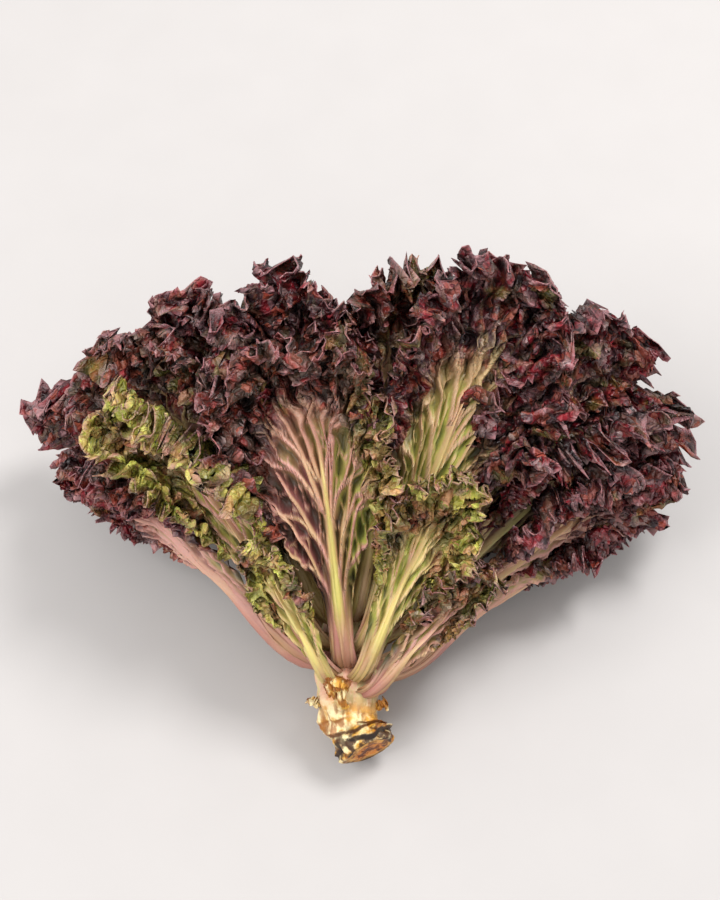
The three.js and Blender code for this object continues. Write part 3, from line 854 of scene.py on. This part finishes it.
STEM_STEPS = [
    # pale flesh with golden streaks, which turns pink and green where the leaves join
    ("stained", "rise", "stains", 0.42, 0.6),
    ("plain flesh", "mix", "stained", "#ecdaa8", "#c69236"),
    ("streak", "rise", "streaks", 0.46, 0.6, 0.0, 0.8),
    ("streaked", "mix", "streak", "plain flesh", "#8e4c12"),
    ("green streak", "rise", "streaks", 0.42, 0.6),
    ("joint colour", "mix", "green streak", "#c99482", "#cfc08a"),
    ("joint", "MULTIPLY", "upper", 0.85),
    ("jointed", "mix", "joint", "streaked", "joint colour"),

    # dried brown in spots near the cut, and darkest in the leaf scars
    ("spotted", "rise", "spots", 0.42, 0.56),
    ("burnt spot", "MULTIPLY", "burnt", "spotted"),
    ("burnt share", "MULTIPLY", "burnt spot", 0.95),
    ("dried", "mix", "burnt share", "jointed", "#3e2412"),
    ("scar share", "rise", "brown", 0.2, 0.7, 0.0, 0.95),
    ("scar colour", "mix", "burnt", "#7c4413", "#231710"),
    ("scarred", "mix", "scar share", "dried", "scar colour"),

    # the cut end: orange-brown pith, a paler ring round it and a dark rim
    ("pith spot", "rise", "spots", 0.42, 0.58),
    ("pith", "mix", "pith spot", "#c87c34", "#5e2c12"),
    ("ring spot", "rise", "spots", 0.4, 0.6),
    ("ring colour", "mix", "ring spot", "#d29a50", "#7a4a24"),
    ("ring starts", "rise", "ring", 0.5, 0.62),
    ("ringed", "mix", "ring starts", "pith", "ring colour"),
    ("rim starts", "rise", "ring", 0.7, 0.84),
    ("cut end", "mix", "rim starts", "ringed", "#24150c"),
    ("colour", "mix", "cut", "scarred", "cut end"),
]


def stem_flesh():
    """Lettuce stem, cut and left to dry a little: pale moist flesh, pink where the leaves join, with
    golden streaks along it, dark leaf scars, and a cut end that has browned from its rim inwards."""
    material, tree, read = new_material("cut_lettuce_stem", ("brown", "upper", "burnt", "cut", "ring"))
    place = read["place"]
    lengthwise = add(tree, "ShaderNodeMapping", {
        "Vector": place, "Rotation": (STREAK_LEAN, 0.0, 0.0), "Scale": (1.0, STREAK_SQUEEZE, 1.0)}).outputs[0]
    patterns = {
        "stains": {"Vector": place, "Scale": 1 / STEM_STAIN, "Detail": 3.0, "Roughness": 0.6},
        "spots": {"Vector": place, "Scale": 1 / STEM_SPOT, "Detail": 3.0},
        "streaks": {"Vector": lengthwise, "Scale": 1 / STEM_STREAK, "Detail": 4.0},
        "grain": {"Vector": place, "Scale": 1 / STEM_GRAIN, "Detail": 3.0},
    }
    for name, inputs in patterns.items():
        read[name] = add(tree, "ShaderNodeTexNoise", inputs).outputs["Fac"]
    work_out(tree, read, STEM_STEPS)

    relief = add(tree, "ShaderNodeBump", {"Strength": 0.5, "Distance": 0.0008, "Height": read["grain"]})
    shader = add(tree, "ShaderNodeBsdfPrincipled", {
        "Base Color": read["colour"], "Roughness": STEM_ROUGH, "Specular IOR Level": 0.35,
        "Normal": relief.outputs[0], "Subsurface Weight": 0.08, "Subsurface Scale": 0.003})
    add(tree, "ShaderNodeOutputMaterial", {"Surface": shader.outputs[0]})
    return material


def studio_floor():
    """Matt white paint on board, rolled: plain and pale."""
    material, tree, read = new_material("matt_white_board")
    grain = {"Vector": read["place"], "Scale": 1 / FLOOR_GRAIN, "Detail": 2.0}
    read["grain"] = add(tree, "ShaderNodeTexNoise", grain).outputs["Fac"]
    work_out(tree, read, [("colour", "mix", "grain", "#aeaaa8", "#b2aeac")])
    shader = add(tree, "ShaderNodeBsdfPrincipled", {"Base Color": read["colour"], "Roughness": FLOOR_ROUGH})
    add(tree, "ShaderNodeOutputMaterial", {"Surface": shader.outputs[0]})
    return material


# ----------------------------------------
# The pieces. Each has its own seed, so that a change to one leaves the others as they are.

tissue_material = leaf_tissue()
stem_material = stem_flesh()
blanks = {name: make_blank("blank_" + name, *shape) for name, shape in BLANKS.items()}

for order, (name, row) in enumerate(LEAVES.items()):
    turn, level, length, half_width, shift, detail, green, rest = row
    leaf = dict(USUAL, turn=radians(turn), level=level, half_width=half_width, shift=shift,
                detail=detail, green=green)
    leaf.update(rest)
    leaf["length"] = length * leaf["reach"]
    piece = make_leaf(name + "_blade", leaf, blanks[detail], tissue_material, LEAF_SEED + order)
    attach(piece, "root")
    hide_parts(name)

for order, (name, row) in enumerate(SHREDS.items()):
    turn, level, length, half_width, left = row
    shred = dict(SHRED, turn=radians(turn), level=level, length=length * left, half_width=half_width)
    piece = make_leaf(name + "_shred", shred, blanks["plain"], stem_material, SHRED_SEED + order)
    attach(piece, "root")
    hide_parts(name)

stem = make_stem(stem_material)
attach(stem, "root")
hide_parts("stem")

for blank in blanks.values():
    bpy.data.objects.remove(blank)

# ----------------------------------------
# Floor, light and camera

FLOOR_SIZE = 14  # m, well past what the camera sees
VIEW_RISE = radians(60)  # the camera looks down this steeply
VIEW_DISTANCE = 0.760
AIM = Vector((-1.52, 32.24, 39.48)) * MM
LAMPS_AIM = Vector((0, 0.02, 0.04))
LENS, SENSOR = 70.45, 36  # mm

# A small bright window from the back right and a wide fill from the left: place, size, power in watts.
LAMPS = {
    "window_light": ((0.55, 0.45, 1.3), 0.5, 15.5),
    "fill_light": ((-0.9, -0.3, 1.1), 0.9, 12),
}
SKY_STRENGTH = 1.05

deselect()
bpy.ops.mesh.primitive_plane_add(size=FLOOR_SIZE, location=(0, 0, 0))
floor = bpy.context.object
floor.name = "studio_floor"
floor.data.materials.append(studio_floor())


def aim(thing, at):
    thing.rotation_euler = (at - thing.location).to_track_quat("-Z", "Y").to_euler()


lens = bpy.data.cameras.new("camera")
lens.lens = LENS
lens.sensor_width = SENSOR
camera = bpy.data.objects.new("camera", lens)
bpy.context.collection.objects.link(camera)
camera.location = AIM + VIEW_DISTANCE * Vector((0, -cos(VIEW_RISE), sin(VIEW_RISE)))
aim(camera, AIM)
bpy.context.scene.camera = camera

for name, (place, size, power) in LAMPS.items():
    lamp = bpy.data.lights.new(name, "AREA")
    lamp.shape = "DISK"
    lamp.size = size
    lamp.energy = power
    light = bpy.data.objects.new(name, lamp)
    bpy.context.collection.objects.link(light)
    light.location = place
    aim(light, LAMPS_AIM)

world = bpy.data.worlds.new("studio")
world.use_nodes = True
sky = world.node_tree.nodes["Background"].inputs
sky["Color"].default_value = (1, 1, 1, 1)
sky["Strength"].default_value = SKY_STRENGTH
bpy.context.scene.world = world
bpy.context.scene.view_settings.view_transform = "Standard"
